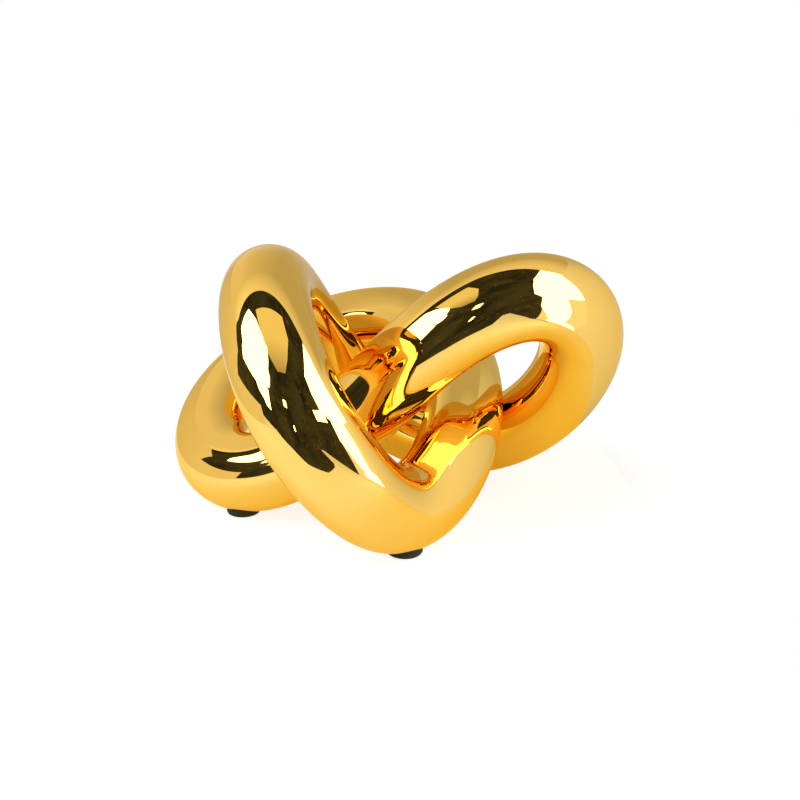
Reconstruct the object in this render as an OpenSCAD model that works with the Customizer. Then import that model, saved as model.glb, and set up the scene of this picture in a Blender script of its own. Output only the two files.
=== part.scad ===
// Knot ornament: one round tube tied in a three-lobed knot. Three hollow castings butt
// end to end on joint sleeves, and the knot stands on three rubber feet.
// The camera side is -Y, X runs to the right, Z up, and the floor is at z = 0.

/* [Tube] */
// Outside diameter of the tube
tube_d = 29; // [22:0.5:40]
// Wall of the hollow castings
wall = 2.5; // [1.8:0.1:4]
// Least clear space between two strands that cross
strand_gap = 1.2; // [0.6:0.1:5]

/* [Front lobe route] */
// Tube centre where the front lobe turns over its foot
front_foot = [11.5, -37, 15]; // [-100:0.1:100]
// Tube centre on the front strand, rising to the left
front_outer = [-12, -65, 34]; // [-100:0.1:100]
// Tube centre where the front lobe turns back, below its crown
front_turn = [-33.5, -55.5, 71.5]; // [-100:0.1:100]
// Tube centre past the crown, falling behind the knot
front_fall = [-37.5, 18, 72.5]; // [-100:0.1:100]
// Place of the front foot, in degrees of the route from the front strand's point
front_foot_place = -25; // [-30:0.5:-22]

/* [Right lobe route] */
// Tube centre where the right lobe turns over its foot
right_foot = [10, 40, 17]; // [-100:0.1:100]
// Tube centre on the outer right bend
right_outer = [66.5, 1.5, 48.5]; // [-100:0.1:100]
// Tube centre just past the highest point of the right lobe
right_crown = [43, -27.5, 82]; // [-100:0.1:100]
// Tube centre on the strand that falls to the left across the knot
right_fall = [-3, -19, 47.5]; // [-100:0.1:100]
// Place of the right foot, in degrees of the route
right_foot_place = 96; // [93:0.5:99]

/* [Left lobe route] */
// Tube centre where the left lobe turns over its foot
left_foot = [-48.5, -12, 15]; // [-100:0.1:100]
// Tube centre on the outer left bend
left_outer = [-66, 30, 31]; // [-100:0.1:100]
// Tube centre at the back, below the crown of the left lobe
left_crown = [-15.5, 70, 57]; // [-100:0.1:100]
// Tube centre where the left lobe falls into the middle of the knot
left_fall = [28.5, 16.5, 46.5]; // [-100:0.1:100]
// Place of the left foot, in degrees of the route
left_foot_place = 213; // [209:0.5:217]

/* [Joints between the castings] */
// Place of the joint from front lobe to right lobe, in degrees of the route
front_right_joint = 79; // [70:1:84]
// Place of the joint from right lobe to left lobe
right_left_joint = 190; // [178:1:196]
// Place of the joint from left lobe to front lobe
left_front_joint = 293; // [286:1:306]
// Length of a joint sleeve
sleeve_length = 14; // [8:1:18]
// Wall of a joint sleeve
sleeve_wall = 2; // [1:0.1:3]
// Chamfer on both rims of a joint sleeve
sleeve_chamfer = 0.8; // [0.2:0.1:1]
// Clear space between a sleeve and its counterbore, filled by the adhesive
joint_gap = 0.25; // [0.1:0.05:0.3]

/* [Feet] */
// Diameter of a rubber foot
foot_d = 12.5; // [9:0.5:15]
// Height of rubber that stands below the castings
foot_show = 1.5; // [1:0.1:4]
// Rounding of the lower edge of a foot
foot_round = 1.4; // [0.4:0.1:2]
// Clear space between a foot and the edge of its pocket
foot_gap = 0.25; // [0.1:0.05:0.5]
// Depth of the pocket at the sides of the tube, where it is shallowest
pocket_land = 0.1; // [0.05:0.05:0.5]
// Diameter of the push-in stem of a foot
stem_d = 4; // [3:0.1:6]
// Clear space between a stem and its hole
stem_gap = 0.2; // [0.1:0.05:0.3]
// How far the barb of a stem stands out past the hole
barb_lip = 0.6; // [0.4:0.1:1]
// Height of the barb
barb_height = 3; // [2:0.5:5]
// Thickness of the casting above a foot
boss_height = 3; // [2:0.5:5]
// Rim of the casting boss outside the foot
boss_rim = 1; // [0.5:0.1:2]

/* [Hidden] */
$fn = 96;

// Width of one flat facet round the tube, and rings along the whole route for each corner.
facet_width = 2.5;
rings_per_corner = 4;
// Degrees of the route between the points at which the strands are measured.
survey_step = 1.5;
cut_over = 1;

tube_r = tube_d / 2;
bore_r = tube_r - wall;
bore_corners = round(PI * tube_d / facet_width / 2);
corners = 2 * bore_corners;
ring_step = 360 / (rings_per_corner * corners);
sleeve_r = bore_r;
counterbore_r = sleeve_r + joint_gap;
counterbore_depth = sleeve_length / 2 + joint_gap;
foot_r = foot_d / 2;
pocket_r = foot_r + foot_gap;
stem_r = stem_d / 2;
stem_hole_r = stem_r + stem_gap;
barb_r = stem_hole_r + barb_lip;
boss_r = pocket_r + boss_rim;

// How far a round tube rises above its lowest line at this distance to the side.
function tube_rise(side) = tube_r - sqrt(tube_r * tube_r - side * side);
seat_z = foot_show + tube_rise(pocket_r) + pocket_land;
boss_top = seat_z + boss_height;

// The route: a smooth closed curve through the twelve stations, 30 degrees from each to the next.
stations = [front_outer, front_turn, front_fall, right_foot, right_outer, right_crown,
    right_fall, left_foot, left_outer, left_crown, left_fall, front_foot];
count = len(stations);
station_step = 360 / count;

function share(a) = abs(sin(a / 2)) < 1e-6 ? 1 : sin(count * a / 2) / (count * tan(a / 2));
function laid(a) = [for (i = [0 : count - 1]) share(a - i * station_step)] * stations;

// The knot is drawn open or shut until its closest strands clear by the named gap.
survey = [for (a = [0 : survey_step : 359]) laid(a)];
points = len(survey);
// Points that lie an eighth of the route apart, or more, belong to different strands.
apart = floor(points / 8);
laid_pitch = min([for (i = [0 : points - 1], j = [i + apart : min(points - 1, i + points - apart)])
    norm(survey[i] - survey[j])]);
spread = (tube_d + strand_gap) / laid_pitch;

function across(k) = [for (p = survey) p[k]];
function middle(k) = (min(across(k)) + max(across(k))) / 2;
floor_shift = foot_show + tube_r - spread * min(across(2));
function centre(a) = spread * (laid(a) - [middle(0), middle(1), 0]) + [0, 0, floor_shift];
function unit(v) = v / norm(v);
function heading(a) = unit(centre(a + 0.1) - centre(a - 0.1));

// A direction square to the route, carried from ring to ring so that the tube isn't twisted.
function square(v, along) = unit(v - (v * along) * along);
function carry(angles) = [for (i = 0, v = square([0, 0, 1], heading(angles[0]));
    i < len(angles);
    i = i + 1, v = square(v, heading(angles[min(i, len(angles) - 1)]))) v];

function ring(middle_point, along, side, r, n) = let (aside = cross(along, side))
    [for (j = [0 : n - 1]) let (turn = 360 * (j + 0.5) / n)
        middle_point + r * (cos(turn) * side + sin(turn) * aside)];

function skin(first, rings, n) = [for (i = [0 : rings - 2], j = [0 : n - 1])
    let (a = first + i * n + j, b = first + i * n + (j + 1) % n)
    each [[a, b + n, b], [a, a + n, b + n]]];

function end_face(outer, inner, n) = [for (j = [0 : n / 2 - 1])
    let (i0 = inner + j, i1 = inner + (j + 1) % (n / 2))
    let (o0 = outer + 2 * j, o1 = outer + 2 * j + 1, o2 = outer + (2 * j + 2) % n)
    each [[i0, o0, o1], [i0, o1, i1], [i1, o1, o2]]];

function turned(faces) = [for (f = faces) [f[2], f[1], f[0]]];

// Hollow tube along the route from one joint to the next. The bore has half the corners and rings.
module hollow_tube(from, to) {
    pairs = ceil((to - from) / (2 * ring_step));
    rings = 2 * pairs + 1;
    angles = [for (i = [0 : rings - 1]) from + (to - from) * i / (rings - 1)];
    sides = carry(angles);
    outer = [for (i = [0 : rings - 1])
        each ring(centre(angles[i]), heading(angles[i]), sides[i], tube_r, corners)];
    inner = [for (i = [0 : 2 : rings - 1])
        each ring(centre(angles[i]), heading(angles[i]), sides[i], bore_r, bore_corners)];
    last_outer = (rings - 1) * corners;
    last_inner = len(outer) + pairs * bore_corners;
    polyhedron(
        points = concat(outer, inner),
        faces = concat(
            skin(0, rings, corners),
            turned(skin(len(outer), pairs + 1, bore_corners)),
            end_face(0, len(outer), corners),
            turned(end_face(last_outer, last_inner, corners))),
        convexity = 10);
}

// Stands a child drawn along Z on the route, at this angle.
module on_route(a) {
    along = heading(a);
    translate(centre(a))
        rotate([0, acos(along[2]), atan2(along[1], along[0])])
            children();
}

// Stands a child drawn on the floor under the route, at this angle.
module under_route(a) {
    above = centre(a);
    translate([above[0], above[1], 0])
        children();
}

// Solid boss inside the tube, backing the pocket of the foot. Its sides stop within the wall.
module foot_boss() {
    intersection() {
        translate([0, 0, foot_show + tube_r])
            sphere(r = tube_r - wall / 2);
        cylinder(r = boss_r, h = boss_top);
    }
}

module casting(from, to, foot_place) {
    difference() {
        union() {
            hollow_tube(from, to);
            under_route(foot_place)
                foot_boss();
        }
        on_route(from)
            translate([0, 0, -cut_over])
                cylinder(r = counterbore_r, h = counterbore_depth + cut_over);
        on_route(to)
            translate([0, 0, -counterbore_depth])
                cylinder(r = counterbore_r, h = counterbore_depth + cut_over);
        under_route(foot_place)
            cylinder(r = pocket_r, h = seat_z);
        under_route(foot_place)
            cylinder(r = stem_hole_r, h = boss_top + cut_over);
    }
}

module sleeve(a) {
    rim = sleeve_r - sleeve_chamfer;
    half = sleeve_length / 2;
    on_route(a)
        rotate_extrude()
            polygon([[sleeve_r - sleeve_wall, -half], [rim, -half],
                [sleeve_r, -half + sleeve_chamfer], [sleeve_r, half - sleeve_chamfer],
                [rim, half], [sleeve_r - sleeve_wall, half]]);
}

module foot_pad(foot_place) {
    barb_z = boss_top + stem_gap;
    under_route(foot_place) {
        cylinder(r = foot_r - foot_round, h = seat_z);
        translate([0, 0, foot_round])
            rotate_extrude()
                translate([foot_r - foot_round, 0])
                    circle(r = foot_round);
        translate([0, 0, foot_round])
            cylinder(r = foot_r, h = seat_z - foot_round);
        cylinder(r = stem_r, h = barb_z);
        translate([0, 0, barb_z])
            cylinder(r1 = barb_r, r2 = stem_r / 2, h = barb_height);
    }
}

module front_lobe() {
    color("gold")
        casting(left_front_joint - 360, front_right_joint, front_foot_place);
}

module right_lobe() {
    color("goldenrod")
        casting(front_right_joint, right_left_joint, right_foot_place);
}

module left_lobe() {
    color("khaki")
        casting(right_left_joint, left_front_joint, left_foot_place);
}

module front_right_sleeve() {
    color("silver")
        sleeve(front_right_joint);
}

module right_left_sleeve() {
    color("silver")
        sleeve(right_left_joint);
}

module left_front_sleeve() {
    color("silver")
        sleeve(left_front_joint);
}

module front_foot_pad() {
    color("dimgray")
        foot_pad(front_foot_place);
}

module right_foot_pad() {
    color("dimgray")
        foot_pad(right_foot_place);
}

module left_foot_pad() {
    color("dimgray")
        foot_pad(left_foot_place);
}

front_lobe();
right_lobe();
left_lobe();
front_right_sleeve();
right_left_sleeve();
left_front_sleeve();
front_foot_pad();
right_foot_pad();
left_foot_pad();
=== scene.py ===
import math

import bmesh
import bpy
import numpy as np
from mathutils import Euler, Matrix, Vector


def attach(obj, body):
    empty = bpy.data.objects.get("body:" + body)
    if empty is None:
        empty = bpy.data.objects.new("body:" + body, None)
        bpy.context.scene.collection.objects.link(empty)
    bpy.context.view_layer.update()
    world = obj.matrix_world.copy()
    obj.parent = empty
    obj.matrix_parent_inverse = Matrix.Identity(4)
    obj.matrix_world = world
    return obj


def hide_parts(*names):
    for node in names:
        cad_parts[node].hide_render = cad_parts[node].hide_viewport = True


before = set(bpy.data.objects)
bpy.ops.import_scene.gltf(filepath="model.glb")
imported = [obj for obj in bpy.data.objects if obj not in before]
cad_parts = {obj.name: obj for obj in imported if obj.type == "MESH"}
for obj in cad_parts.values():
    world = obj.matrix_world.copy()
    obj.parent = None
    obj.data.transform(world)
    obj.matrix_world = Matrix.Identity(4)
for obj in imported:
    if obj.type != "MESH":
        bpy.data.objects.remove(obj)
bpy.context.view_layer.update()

MM = 0.001


# ---------------------------------------------------------------- the route of the tube
# The same closed curve as the castings follow: twelve stations, 30 degrees apart.

# Lengths are in millimetres up to the places where MM turns them into metres.

STATIONS = np.array([
    [-12, -65, 34], [-33.5, -55.5, 71.5], [-37.5, 18, 72.5], [10, 40, 17],
    [66.5, 1.5, 48.5], [43, -27.5, 82], [-3, -19, 47.5], [-48.5, -12, 15],
    [-66, 30, 31], [-15.5, 70, 57], [28.5, 16.5, 46.5], [11.5, -37, 15]], float)
TUBE_D = 29.0
WALL = 2.5
STRAND_GAP = 1.2
SURVEY_STEP = 1.5
FOOT_SHOW = 1.5
SLEEVE_LENGTH = 14.0
JOINT_GAP = 0.25
FOOT_D = 12.5
FOOT_GAP = 0.25
POCKET_LAND = 0.1
STEM_D = 4.0
STEM_GAP = 0.2
BOSS_HEIGHT = 3.0
# Start, end and place of the foot, in degrees of the route.
LOBES = {
    "front_lobe": (-67, 79, -25),
    "right_lobe": (79, 190, 96),
    "left_lobe": (190, 293, 213)}

# The CAD castings have flat facets, so the smooth shells are drawn a hair thinner to stay
# inside their box.
HAIR = 0.1
TUBE_R = TUBE_D / 2
SHELL_R = TUBE_R - HAIR
BORE_R = TUBE_R - WALL
COUNTERBORE_R = BORE_R + JOINT_GAP
COUNTERBORE_DEPTH = SLEEVE_LENGTH / 2 + JOINT_GAP
POCKET_R = FOOT_D / 2 + FOOT_GAP
STEM_HOLE_R = STEM_D / 2 + STEM_GAP
SEAT_Z = FOOT_SHOW + TUBE_R - math.sqrt(TUBE_R ** 2 - POCKET_R ** 2) + POCKET_LAND
BOSS_TOP = SEAT_Z + BOSS_HEIGHT


def laid(degrees):
    """Points of the curve through the stations, before the spread and the shift."""
    count = len(STATIONS)
    turn = np.radians(np.atleast_1d(np.asarray(degrees, float))[:, None]
                      - np.arange(count)[None] * 360.0 / count)
    half = turn / 2
    flat = np.abs(np.sin(half)) < 1e-6
    safe = np.where(flat, 1.0, half)
    share = np.where(flat, 1.0, np.sin(count * safe) / (count * np.tan(safe)))
    return share @ STATIONS


# The spread that lets the closest strands clear by the gap. Points that lie an eighth of the
# route apart, or more, belong to different strands.
survey = laid(np.arange(0, 360, SURVEY_STEP))
steps = np.arange(len(survey))
along = np.abs(steps[:, None] - steps[None])
along = np.minimum(along, len(survey) - along)
pitches = np.linalg.norm(survey[:, None] - survey[None], axis=2)
SPREAD = (TUBE_D + STRAND_GAP) / pitches[along >= len(survey) // 8].min()
MIDDLE = (survey.min(axis=0) + survey.max(axis=0)) / 2
MIDDLE[2] = 0
LIFT = np.array([0, 0, FOOT_SHOW + TUBE_R - SPREAD * survey[:, 2].min()])


def centre(degrees):
    """Tube centre at these places of the route, in millimetres of the shared frame."""
    return SPREAD * (laid(degrees) - MIDDLE) + LIFT


def heading(degrees):
    """The direction of the route at these places."""
    nudge = 0.02
    ahead = centre(np.asarray(degrees) + nudge) - centre(np.asarray(degrees) - nudge)
    return ahead / np.linalg.norm(ahead, axis=1)[:, None]


def carried_sides(headings):
    """A direction square to the route, carried from ring to ring without twist."""
    sides = []
    side = np.array([0.0, 0.0, 1.0])
    for ahead in headings:
        side = side - ahead * side.dot(ahead)
        side = side / np.linalg.norm(side)
        sides.append(side)
    return np.array(sides)


# ---------------------------------------------------------------- helpers for node materials

# The colour sockets of a Mix node, which share their names with its other sockets.
MIX_SHARE, MIX_LOW, MIX_HIGH, MIX_RESULT = 0, 6, 7, 2


def new_material(name):
    material = bpy.data.materials.new(name)
    material.use_nodes = True
    nodes = material.node_tree.nodes
    shader = nodes["Principled BSDF"]
    return material, nodes, material.node_tree.links, shader


def object_coordinates(nodes, links, scale=(1, 1, 1)):
    coordinates = nodes.new("ShaderNodeTexCoord")
    mapping = nodes.new("ShaderNodeMapping")
    mapping.inputs["Scale"].default_value = scale
    links.new(coordinates.outputs["Object"], mapping.inputs["Vector"])
    return mapping.outputs["Vector"]


def noise(nodes, links, vector, scale, detail=2.0, roughness=0.5, distortion=0.0):
    node = nodes.new("ShaderNodeTexNoise")
    node.inputs["Scale"].default_value = scale
    node.inputs["Detail"].default_value = detail
    node.inputs["Roughness"].default_value = roughness
    node.inputs["Distortion"].default_value = distortion
    links.new(vector, node.inputs["Vector"])
    return node.outputs["Fac"]


def mapped(nodes, links, value, low, high, to_low, to_high):
    node = nodes.new("ShaderNodeMapRange")
    node.clamp = True
    node.inputs["From Min"].default_value = low
    node.inputs["From Max"].default_value = high
    node.inputs["To Min"].default_value = to_low
    node.inputs["To Max"].default_value = to_high
    links.new(value, node.inputs["Value"])
    return node.outputs["Result"]


def maths(nodes, links, operation, first, second):
    node = nodes.new("ShaderNodeMath")
    node.operation = operation
    for socket, value in ((node.inputs[0], first), (node.inputs[1], second)):
        if isinstance(value, (int, float)):
            socket.default_value = value
        else:
            links.new(value, socket)
    return node.outputs[0]


def blend_colours(nodes, links, share, low, high):
    """A colour between two others. The low one is a colour or the socket of another node."""
    node = nodes.new("ShaderNodeMix")
    node.data_type = "RGBA"
    if isinstance(low, tuple):
        node.inputs[MIX_LOW].default_value = (*low, 1)
    else:
        links.new(low, node.inputs[MIX_LOW])
    node.inputs[MIX_HIGH].default_value = (*high, 1)
    links.new(share, node.inputs[MIX_SHARE])
    return node.outputs[MIX_RESULT]


def bumped(nodes, links, height, distance, strength=1.0, under=None):
    node = nodes.new("ShaderNodeBump")
    node.inputs["Strength"].default_value = strength
    node.inputs["Distance"].default_value = distance
    links.new(height, node.inputs["Height"])
    if under is not None:
        links.new(under, node.inputs["Normal"])
    return node.outputs["Normal"]


# ---------------------------------------------------------------- materials of the object

def gold_plating():
    """Mirror-polished gold plating: a little uneven in tone, wiped, with a soft waviness."""
    material, nodes, links, shader = new_material("gold_plating")
    place = object_coordinates(nodes, links)
    tone = noise(nodes, links, place, scale=55, detail=3, roughness=0.55)
    colour = blend_colours(nodes, links, mapped(nodes, links, tone, 0.3, 0.7, 0, 1),
                           (0.97, 0.60, 0.135), (0.975, 0.63, 0.155))
    links.new(colour, shader.inputs["Base Color"])
    shader.inputs["Metallic"].default_value = 1.0
    shader.inputs["Specular Tint"].default_value = (1.0, 0.88, 0.6, 1)
    smudge = noise(nodes, links, place, scale=38, detail=5, roughness=0.62, distortion=0.8)
    haze = mapped(nodes, links, smudge, 0.56, 0.78, 0.0, 0.05)
    wipe_place = object_coordinates(nodes, links, (1.0, 1.0, 7.0))
    wipes = noise(nodes, links, wipe_place, scale=420, detail=2, roughness=0.6)
    wiped = mapped(nodes, links, wipes, 0.62, 0.8, 0.0, 0.02)
    worn = maths(nodes, links, "ADD", haze, wiped)
    links.new(maths(nodes, links, "ADD", worn, 0.028), shader.inputs["Roughness"])
    swell = noise(nodes, links, place, scale=34, detail=1, roughness=0.45)
    peel = noise(nodes, links, place, scale=210, detail=2, roughness=0.5)
    soft = bumped(nodes, links, swell, 0.00022)
    links.new(bumped(nodes, links, peel, 0.0000065, under=soft), shader.inputs["Normal"])
    return material


def raw_casting():
    """The inside of the castings, as it came from the mould."""
    material, nodes, links, shader = new_material("raw_casting")
    place = object_coordinates(nodes, links)
    grain = noise(nodes, links, place, scale=900, detail=4, roughness=0.7)
    colour = blend_colours(nodes, links, grain, (0.30, 0.24, 0.16), (0.48, 0.40, 0.28))
    links.new(colour, shader.inputs["Base Color"])
    shader.inputs["Metallic"].default_value = 1.0
    links.new(mapped(nodes, links, grain, 0.3, 0.7, 0.42, 0.62), shader.inputs["Roughness"])
    links.new(bumped(nodes, links, grain, 0.00008), shader.inputs["Normal"])
    return material


def turned_brass():
    """Joint sleeves, with the fine grooves of the lathe."""
    material, nodes, links, shader = new_material("turned_brass")
    place = object_coordinates(nodes, links)
    grooves = noise(nodes, links, place, scale=1400, detail=2)
    stain = noise(nodes, links, place, scale=120, detail=4, roughness=0.6)
    colour = blend_colours(nodes, links, stain, (0.62, 0.45, 0.17), (0.80, 0.62, 0.30))
    links.new(colour, shader.inputs["Base Color"])
    shader.inputs["Metallic"].default_value = 1.0
    links.new(mapped(nodes, links, stain, 0.3, 0.7, 0.22, 0.36), shader.inputs["Roughness"])
    links.new(bumped(nodes, links, grooves, 0.00003), shader.inputs["Normal"])
    return material


def foot_rubber():
    """Matte black rubber with a fine moulded grain and a little dust."""
    material, nodes, links, shader = new_material("foot_rubber")
    place = object_coordinates(nodes, links)
    grain = noise(nodes, links, place, scale=2600, detail=3, roughness=0.6)
    dust = noise(nodes, links, place, scale=260, detail=4, roughness=0.7)
    colour = blend_colours(nodes, links, mapped(nodes, links, dust, 0.45, 0.8, 0, 1),
                           (0.012, 0.012, 0.012), (0.045, 0.043, 0.04))
    links.new(colour, shader.inputs["Base Color"])
    links.new(mapped(nodes, links, grain, 0.3, 0.7, 0.55, 0.72), shader.inputs["Roughness"])
    links.new(bumped(nodes, links, grain, 0.00004), shader.inputs["Normal"])
    return material


GOLD = gold_plating()
RAW = raw_casting()
BRASS = turned_brass()
RUBBER = foot_rubber()


# ---------------------------------------------------------------- the three hollow castings

# Corners round the outside and round the bore, and degrees of the route between rings.
ROUND = 96
BORE_ROUND = 48
RING_STEP = 0.5
# How far the cutter of a pocket starts below the floor.
CUT_OVER = 1
# How far a corner may lie from the outer radius, or past the bore's, and still be on its skin.
ON_SKIN = 0.03
BORE_SLACK = 0.5
# Cosines between a face and the radius above which it belongs to the outside or to the bore.
OUTWARD = 0.9
INWARD = 0.95


def lobe_rings(start, end):
    """Outer and inner rings of one casting, from one joint to the next."""
    count = int(round((end - start) / RING_STEP)) + 1
    places = np.linspace(start, end, count)
    centres = centre(places)
    headings = heading(places)
    sides = carried_sides(headings)
    others = np.cross(headings, sides)
    run = np.concatenate([[0], np.cumsum(np.linalg.norm(np.diff(centres, axis=0), axis=1))])

    def ring(i, radius, corners):
        turn = 2 * np.pi * (np.arange(corners) + 0.5) / corners
        return (centres[i] + radius * (np.cos(turn)[:, None] * sides[i]
                                       + np.sin(turn)[:, None] * others[i]))

    outer = [ring(i, SHELL_R, ROUND) for i in range(count)]
    # The bore widens at both ends for the sleeves. Where it steps, two rings share one place.
    inner = []
    was_wide = True
    for i in range(0, count, 2):
        wide = min(run[i], run[-1] - run[i]) < COUNTERBORE_DEPTH
        if wide != was_wide:
            inner.append(ring(i, COUNTERBORE_R if was_wide else BORE_R, BORE_ROUND))
        inner.append(ring(i, COUNTERBORE_R if wide else BORE_R, BORE_ROUND))
        was_wide = wide
    return outer, inner


def cylinder_cutter(name, middle, radius, low, high, corners):
    """A plain upright cylinder that is cut out of a casting."""
    mesh = bpy.data.meshes.new(name)
    work = bmesh.new()
    made = bmesh.ops.create_cone(work, cap_ends=True, segments=corners, radius1=radius * MM,
                                 radius2=radius * MM, depth=(high - low) * MM)
    bmesh.ops.translate(work, verts=made["verts"],
                        vec=(middle[0] * MM, middle[1] * MM, (low + high) / 2 * MM))
    work.to_mesh(mesh)
    work.free()
    cutter = bpy.data.objects.new(name, mesh)
    bpy.context.scene.collection.objects.link(cutter)
    return cutter


def cut(target, cutter):
    """Cuts one object out of another and removes the cutter."""
    modifier = target.modifiers.new("cut", "BOOLEAN")
    modifier.operation = "DIFFERENCE"
    modifier.solver = "EXACT"
    modifier.object = cutter
    bpy.context.view_layer.update()
    ready = target.evaluated_get(bpy.context.evaluated_depsgraph_get())
    finished = bpy.data.meshes.new_from_object(ready)
    target.modifiers.clear()
    old = target.data
    target.data = finished
    bpy.data.meshes.remove(old)
    old = cutter.data
    bpy.data.objects.remove(cutter)
    bpy.data.meshes.remove(old)


FINE_CENTRES = centre(np.arange(0, 360, 0.1)) * MM
BATCH = 2000


def nearest_centre(points):
    """The nearest point of the route to each point, in metres."""
    count = len(FINE_CENTRES)
    nearest = np.empty_like(points)
    for first in range(0, len(points), BATCH):
        some = points[first:first + BATCH]
        spans = ((some[:, None] - FINE_CENTRES[None]) ** 2).sum(axis=2)
        at = spans.argmin(axis=1)
        before, here, after = (FINE_CENTRES[(at + k) % count] for k in (-1, 0, 1))
        chord = after - before
        share = ((some - before) * chord).sum(axis=1) / (chord ** 2).sum(axis=1)
        bow = here - (before + after) / 2
        nearest[first:first + BATCH] = (before + chord * share[:, None]
                                        + bow * (4 * share * (1 - share))[:, None])
    return nearest


def polish(mesh):
    """Gold with the normals of a perfectly round tube on the outside, and raw casting inside."""
    count = len(mesh.vertices)
    points = np.empty(count * 3)
    mesh.vertices.foreach_get("co", points)
    points = points.reshape(-1, 3)
    out = points - nearest_centre(points)
    reach = np.linalg.norm(out, axis=1)
    outside = np.abs(reach - SHELL_R * MM) < ON_SKIN * MM
    in_bore = reach < (BORE_R + BORE_SLACK) * MM
    radial = out / np.maximum(reach, 1e-9)[:, None]
    corner_vertex = np.empty(len(mesh.loops), int)
    mesh.loops.foreach_get("vertex_index", corner_vertex)
    normals = np.empty((len(mesh.loops), 3))
    raw = np.zeros(len(mesh.polygons), int)
    for face in mesh.polygons:
        corners = list(face.loop_indices)
        vertices = corner_vertex[corners]
        flat = np.array(face.normal)
        facing = flat.dot(radial[vertices].mean(axis=0))
        if outside[vertices].all() and facing > OUTWARD:
            normals[corners] = radial[vertices]
        elif in_bore[vertices].all() and facing < -INWARD:
            raw[face.index] = 1
            normals[corners] = -radial[vertices]
        else:
            raw[face.index] = 1
            normals[corners] = flat
    mesh.polygons.foreach_set("use_smooth", np.ones(len(mesh.polygons), bool))
    mesh.polygons.foreach_set("material_index", raw)
    mesh.normals_split_custom_set(normals.tolist())


def shell(node, start, end, foot_place):
    """The smooth visible body of one casting, with the pocket and stem hole of its foot."""
    outer, inner = lobe_rings(start, end)
    work = bmesh.new()
    rows = []
    for ring in outer + inner:
        rows.append([work.verts.new(point * MM) for point in ring])
    skins = [(rows[:len(outer)], ROUND, False), (rows[len(outer):], BORE_ROUND, True)]
    for skin, corners, inward in skins:
        for a, b in zip(skin[:-1], skin[1:]):
            for j in range(corners):
                k = (j + 1) % corners
                quad = (a[j], a[k], b[k], b[j])
                work.faces.new(quad[::-1] if inward else quad)
    # At both ends each corner of the bore joins three corners of the outside.
    for outer_row, inner_row, last in ((rows[0], rows[len(outer)], False),
                                       (rows[len(outer) - 1], rows[-1], True)):
        for j in range(BORE_ROUND):
            i0, i1 = inner_row[j], inner_row[(j + 1) % BORE_ROUND]
            o0, o1, o2 = (outer_row[(2 * j + k) % ROUND] for k in (0, 1, 2))
            for triple in ((i0, o0, o1), (i0, o1, i1), (i1, o1, o2)):
                work.faces.new(triple if last else triple[::-1])
    bmesh.ops.recalc_face_normals(work, faces=work.faces)
    mesh = bpy.data.meshes.new(node + "_shell")
    work.to_mesh(mesh)
    work.free()
    piece = bpy.data.objects.new(node + "_shell", mesh)
    bpy.context.scene.collection.objects.link(piece)
    above = centre([foot_place])[0]
    cut(piece, cylinder_cutter("pocket", above, POCKET_R, -CUT_OVER, SEAT_Z, ROUND))
    cut(piece, cylinder_cutter("stem_hole", above, STEM_HOLE_R, 0, BOSS_TOP, BORE_ROUND))
    piece.data.materials.clear()
    piece.data.materials.append(GOLD)
    piece.data.materials.append(RAW)
    polish(piece.data)
    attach(piece, "root")
    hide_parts(node)


for name, (start, end, foot_place) in LOBES.items():
    shell(name, start, end, foot_place)

# The sleeves and the pads are the CAD's own nodes.
for name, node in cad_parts.items():
    if name not in LOBES:
        node.data.materials.clear()
        node.data.materials.append(RUBBER if name.endswith("pad") else BRASS)


# ---------------------------------------------------------------- floor, backdrop and light

def empty_material(name):
    """A new material without nodes."""
    material = bpy.data.materials.new(name)
    material.use_nodes = True
    material.node_tree.nodes.clear()
    return material, material.node_tree.nodes, material.node_tree.links


FLOOR_COLOUR = (0.34, 0.31, 0.22)
FLOOR_MIDDLE = (20, 35, 0)
# The glow that the camera sees grows from this level to plain white between two distances
# from the floor's middle.
FLOOR_GLOW = 0.8
NEAR_FLOOR = 70
FAR_FLOOR = 135
# The colours that the gold mirrors in the floor, each at its share of the reach from the floor's
# middle:
# painted shade and painted warm bounce light from the gold near the middle, a pale painted glow
# further out.
MIRROR_REACH = 160
MIRROR_GLOW = [(0.19, (0.45, 0.30, 0.02)), (0.375, (0.66, 0.47, 0.03)),
               (0.47, (0.66, 0.50, 0.07)), (0.66, (0.68, 0.62, 0.38)),
               (0.84, (0.74, 0.76, 0.82))]
# The light tent: height of its roof, and its back, left and right walls.
ROOF = 152
BACK = 260
LEFT = -185
RIGHT = 100
WARM_PAPER = (1.0, 0.96, 0.84)
DAYLIGHT = (0.80, 1.0, 1.35)
WINDOW = 4.4
# The lamps of the room all aim at this point of the front strand.
FRONT_STRAND = (-35, -60, 72)
LAMP_DISTANCE = 900
LAMP_LEVEL = 4.0


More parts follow.
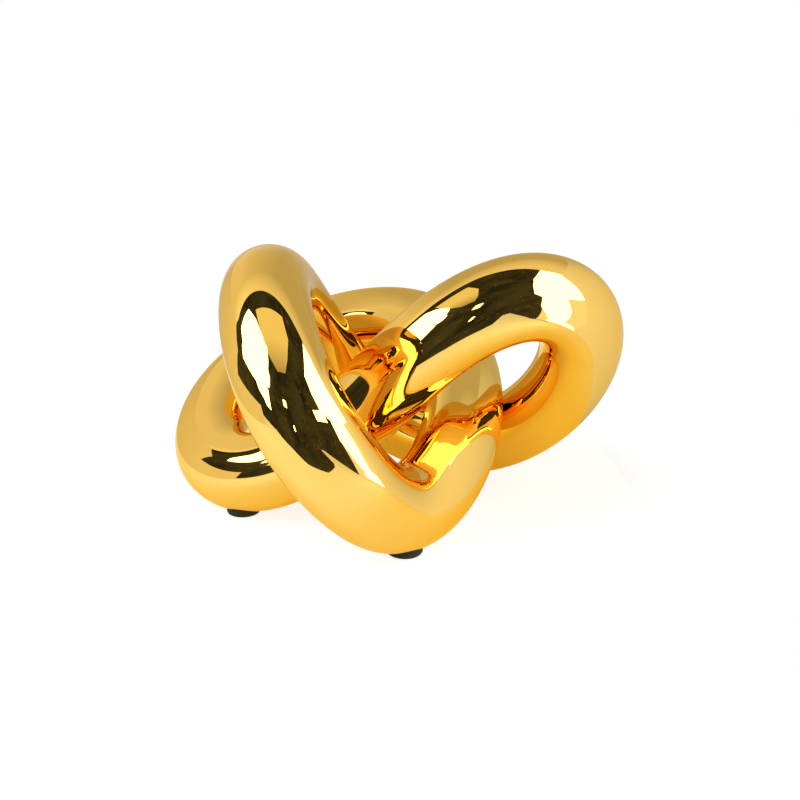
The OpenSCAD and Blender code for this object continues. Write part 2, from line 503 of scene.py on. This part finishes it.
def floor_paper():
    """White paper that the lamps light. Mirror rays see a painted glow on top, with painted
    shade and painted warm bounce light under the gold, and to the camera the glow grows to plain
    white away from the object."""
    material, nodes, links = empty_material("floor_paper")
    geometry = nodes.new("ShaderNodeNewGeometry")
    from_middle = nodes.new("ShaderNodeVectorMath")
    from_middle.operation = "DISTANCE"
    from_middle.inputs[1].default_value = [c * MM for c in FLOOR_MIDDLE]
    links.new(geometry.outputs["Position"], from_middle.inputs[0])
    reach = from_middle.outputs["Value"]
    seen_glow = mapped(nodes, links, reach, NEAR_FLOOR * MM, FAR_FLOOR * MM, FLOOR_GLOW, 1.0)
    # Painted shade and painted warm bounce light under the gold, seen only by mirror rays.
    mirrored_shade_and_bounce = nodes.new("ShaderNodeValToRGB")
    ramp = mirrored_shade_and_bounce.color_ramp.elements
    ramp[0].position, ramp[0].color = MIRROR_GLOW[0][0], (*MIRROR_GLOW[0][1], 1)
    ramp[1].position, ramp[1].color = MIRROR_GLOW[-1][0], (*MIRROR_GLOW[-1][1], 1)
    for position, colour in MIRROR_GLOW[1:-1]:
        ramp.new(position).color = (*colour, 1)
    links.new(mapped(nodes, links, reach, 0, MIRROR_REACH * MM, 0, 1), mirrored_shade_and_bounce.inputs["Fac"])
    path = nodes.new("ShaderNodeLightPath")
    mirrored = maths(nodes, links, "MAXIMUM", path.outputs["Is Glossy Ray"],
                     path.outputs["Is Transmission Ray"])
    mirror_glow = nodes.new("ShaderNodeEmission")
    links.new(mirrored_shade_and_bounce.outputs["Color"], mirror_glow.inputs["Color"])
    links.new(mirrored, mirror_glow.inputs["Strength"])
    camera_glow = nodes.new("ShaderNodeEmission")
    links.new(maths(nodes, links, "MULTIPLY", path.outputs["Is Camera Ray"], seen_glow),
              camera_glow.inputs["Strength"])
    diffuse = nodes.new("ShaderNodeBsdfDiffuse")
    diffuse.inputs["Color"].default_value = (*FLOOR_COLOUR, 1)
    glows = nodes.new("ShaderNodeAddShader")
    links.new(mirror_glow.outputs[0], glows.inputs[0])
    links.new(camera_glow.outputs[0], glows.inputs[1])
    both = nodes.new("ShaderNodeAddShader")
    links.new(diffuse.outputs[0], both.inputs[0])
    links.new(glows.outputs[0], both.inputs[1])
    output = nodes.new("ShaderNodeOutputMaterial")
    links.new(both.outputs[0], output.inputs["Surface"])
    return material


def lit_paper(name, level, colour=(1, 1, 1)):
    """Paper lit through from outside, at a number or at the sum of some slopes. Each slope is
    (axis, low, high, level at low, level at high)."""
    material, nodes, links = empty_material(name)
    emission = nodes.new("ShaderNodeEmission")
    emission.inputs["Color"].default_value = (*colour, 1)
    if isinstance(level, (int, float)):
        emission.inputs["Strength"].default_value = level
    else:
        geometry = nodes.new("ShaderNodeNewGeometry")
        split = nodes.new("ShaderNodeSeparateXYZ")
        links.new(geometry.outputs["Position"], split.inputs[0])
        strength = 0.0
        for axis, low, high, level_low, level_high in level:
            slope = mapped(nodes, links, split.outputs[axis], low * MM, high * MM,
                           level_low, level_high)
            strength = maths(nodes, links, "ADD", strength, slope)
        links.new(strength, emission.inputs["Strength"])
    output = nodes.new("ShaderNodeOutputMaterial")
    links.new(emission.outputs[0], output.inputs["Surface"])
    return material


def sheet(name, corners, material, seen=False):
    """A flat sheet of the studio. One that isn't seen shows only in the mirror of the gold."""
    mesh = bpy.data.meshes.new(name)
    mesh.from_pydata([Vector(corner) * MM for corner in corners], [],
                     [list(range(len(corners)))])
    made = bpy.data.objects.new(name, mesh)
    made.visible_camera = seen
    made.visible_shadow = seen
    bpy.context.scene.collection.objects.link(made)
    mesh.materials.append(material)


def level_at(z, *outline):
    """Corners of a level sheet at this height, from (x, y) pairs."""
    return [(x, y, z) for x, y in outline]


def wall_at(x, *outline):
    """Corners of an upright sheet at this x, from (y, z) pairs."""
    return [(x, y, z) for y, z in outline]


def window(name, corners):
    """A bright window onto the day outside."""
    sheet(name, corners, lit_paper(name + "_light", WINDOW, DAYLIGHT))


# The object stands in a light tent that is open to a dim room on the camera's side. Its sheets
# were placed so that the gold mirrors them where the photo shows them.
sheet("floor", level_at(0, (-1500, -235), (-174, -222), (-110, -190), (-70, -172), (-30, -142),
                        (10, -136), (45, -155), (58, -170), (78, -290), (RIGHT, -290),
                        (RIGHT, -78), (1500, -78), (1500, 1500), (-1500, 1500)),
      floor_paper(), seen=True)

sheet("tent_back", [(LEFT, BACK, 0), (RIGHT, BACK, 0), (RIGHT, BACK, ROOF), (LEFT, BACK, ROOF)],
      lit_paper("back_paper", [("X", -150, 60, 0.72, 0.5)], WARM_PAPER))
sheet("tent_left", wall_at(LEFT, (-153, 0), (-153, 55), (-33, 60), (-43, 111), (-10, ROOF),
                           (BACK, ROOF), (BACK, 0)),
      lit_paper("left_paper", [("Y", -40, BACK, 0.88, 0.6)], WARM_PAPER))
sheet("tent_roof", level_at(ROOF, (LEFT, -10), (-150, -22), (-60, -24), (0, -28), (40, -36),
                            (75, -45), (RIGHT, -45), (RIGHT, BACK), (LEFT, BACK)),
      lit_paper("roof_paper", [("Y", -28, 10, 0.36, 0.0), ("X", -110, -25, 0.84, 0.54)],
                WARM_PAPER))
sheet("tent_right", wall_at(RIGHT, (-50, 0), (BACK, 0), (BACK, 250), (0, 250), (-15, 210),
                            (-35, 180), (-50, 140)),
      lit_paper("right_paper", [("Y", -50, 60, 1.0, 0.55)]))

window("left_window_side", wall_at(LEFT, (-240, 70), (-205, 75), (-190, 92), (-160, 102),
                                   (-145, 118), (-72, 120), (-60, 140), (-58, ROOF),
                                   (-240, ROOF)))
window("left_window_top", level_at(ROOF, (LEFT, -220), (LEFT, -62), (-152, -42), (-90, -40),
                                   (-74, -60), (-66, -84), (-62, -100), (-76, -124),
                                   (-94, -146), (-100, -165), (-136, -205), (-158, -220)))
window("right_window", wall_at(RIGHT, (-166, 134), (-130, 102), (-100, 88), (-50, 87),
                               (-50, 140), (-35, 180), (-15, 210), (0, 250), (-140, 250),
                               (-166, 190)))
window("right_window_foot", wall_at(RIGHT, (-92, 18), (-64, 18), (-68, 56), (-74, 88),
                                    (-132, 100), (-130, 62), (-112, 40)))
# The sill and the frame stand just inside the window, and the card just behind it.
window("right_window_sill", wall_at(RIGHT - 0.5, (-86, 5), (-46, 5), (-52, 17), (-86, 28)))
sheet("right_frame", wall_at(RIGHT - 1, (-127, 0), (-110, 0), (-114, 22), (-132, 56),
                             (-148, 56)),
      lit_paper("right_frame_card", 0.05))
sheet("right_card", wall_at(RIGHT + 1, (-108, 0), (-50, 0), (-50, 90), (-128, 90), (-128, 60)),
      lit_paper("right_card_paper", 1.1))
sheet("roof_panel", level_at(ROOF, (-70, -48), (-14, -45), (-5, -70), (-12, -105), (-25, -138),
                             (-52, -142), (-66, -108)),
      lit_paper("panel_paper", [("Y", -140, -80, 0.45, 0.95)], (1, 0.94, 0.68)))


def seen_from(point, azimuth, elevation, distance):
    """The place at this distance from a point of the object. Azimuth 0 is the camera's side."""
    a, e = math.radians(azimuth), math.radians(elevation)
    return (point[0] + distance * math.sin(a) * math.cos(e),
            point[1] - distance * math.cos(a) * math.cos(e),
            point[2] + distance * math.sin(e))


def lamp(name, azimuth, elevation, width, height):
    """A rectangular soft lamp that the camera doesn't see, aimed at the front strand."""
    place = seen_from(FRONT_STRAND, azimuth, elevation, LAMP_DISTANCE)
    data = bpy.data.lights.new(name, "AREA")
    data.shape = "RECTANGLE"
    data.size = width * MM
    data.size_y = height * MM
    # Energy goes with the area, so that all lamps look equally bright.
    data.energy = LAMP_LEVEL * 4 * width * height * MM * MM
    light = bpy.data.objects.new(name, data)
    light.location = Vector(place) * MM
    aim = Vector(FRONT_STRAND) - Vector(place)
    light.rotation_euler = aim.to_track_quat("-Z", "Y").to_euler()
    light.visible_camera = False
    bpy.context.scene.collection.objects.link(light)


lamp("room_lamp", -15, 20, 80, 110)
lamp("room_window", 48, 22, 300, 150)
lamp("room_spot", -9, -2, 30, 90)


def studio_world():
    """White to the camera, and a dim room to the object."""
    world = bpy.data.worlds.new("studio")
    world.use_nodes = True
    nodes = world.node_tree.nodes
    links = world.node_tree.links
    nodes.clear()
    direction = nodes.new("ShaderNodeTexCoord")
    clutter = noise(nodes, links, direction.outputs["Generated"], scale=2.6, detail=3,
                    roughness=0.5, distortion=0.6)
    room = blend_colours(nodes, links, mapped(nodes, links, clutter, 0.35, 0.7, 0, 1),
                         (0.018, 0.020, 0.018), (0.06, 0.066, 0.05))
    streaks = noise(nodes, links, direction.outputs["Generated"], scale=6.5, detail=3,
                    roughness=0.5, distortion=2.0)
    streaked = blend_colours(nodes, links, mapped(nodes, links, streaks, 0.6, 0.72, 0, 0.9),
                             room, (0.16, 0.085, 0.045))
    path = nodes.new("ShaderNodeLightPath")
    colour = blend_colours(nodes, links, path.outputs["Is Camera Ray"], streaked, (1, 1, 1))
    background = nodes.new("ShaderNodeBackground")
    links.new(colour, background.inputs["Color"])
    output = nodes.new("ShaderNodeOutputWorld")
    links.new(background.outputs[0], output.inputs["Surface"])
    return world


bpy.context.scene.world = studio_world()


# ---------------------------------------------------------------- camera

# Fitted to the knot's outline and crossings in the photo. The tilt is in degrees.
CAMERA_PLACE = (4.457, -286.920, 118.513)
CAMERA_TILT = (74.957, -0.9274, 0.2212)
LENS = 36.0
SENSOR = 36.0

camera_data = bpy.data.cameras.new("camera")
camera_data.lens = LENS
camera_data.sensor_width = SENSOR
camera_data.clip_start = 10 * MM
camera = bpy.data.objects.new("camera", camera_data)
camera.location = Vector(CAMERA_PLACE) * MM
camera.rotation_euler = Euler([math.radians(a) for a in CAMERA_TILT], "XYZ")
bpy.context.scene.collection.objects.link(camera)
bpy.context.scene.camera = camera
bpy.context.scene.view_settings.view_transform = "Standard"
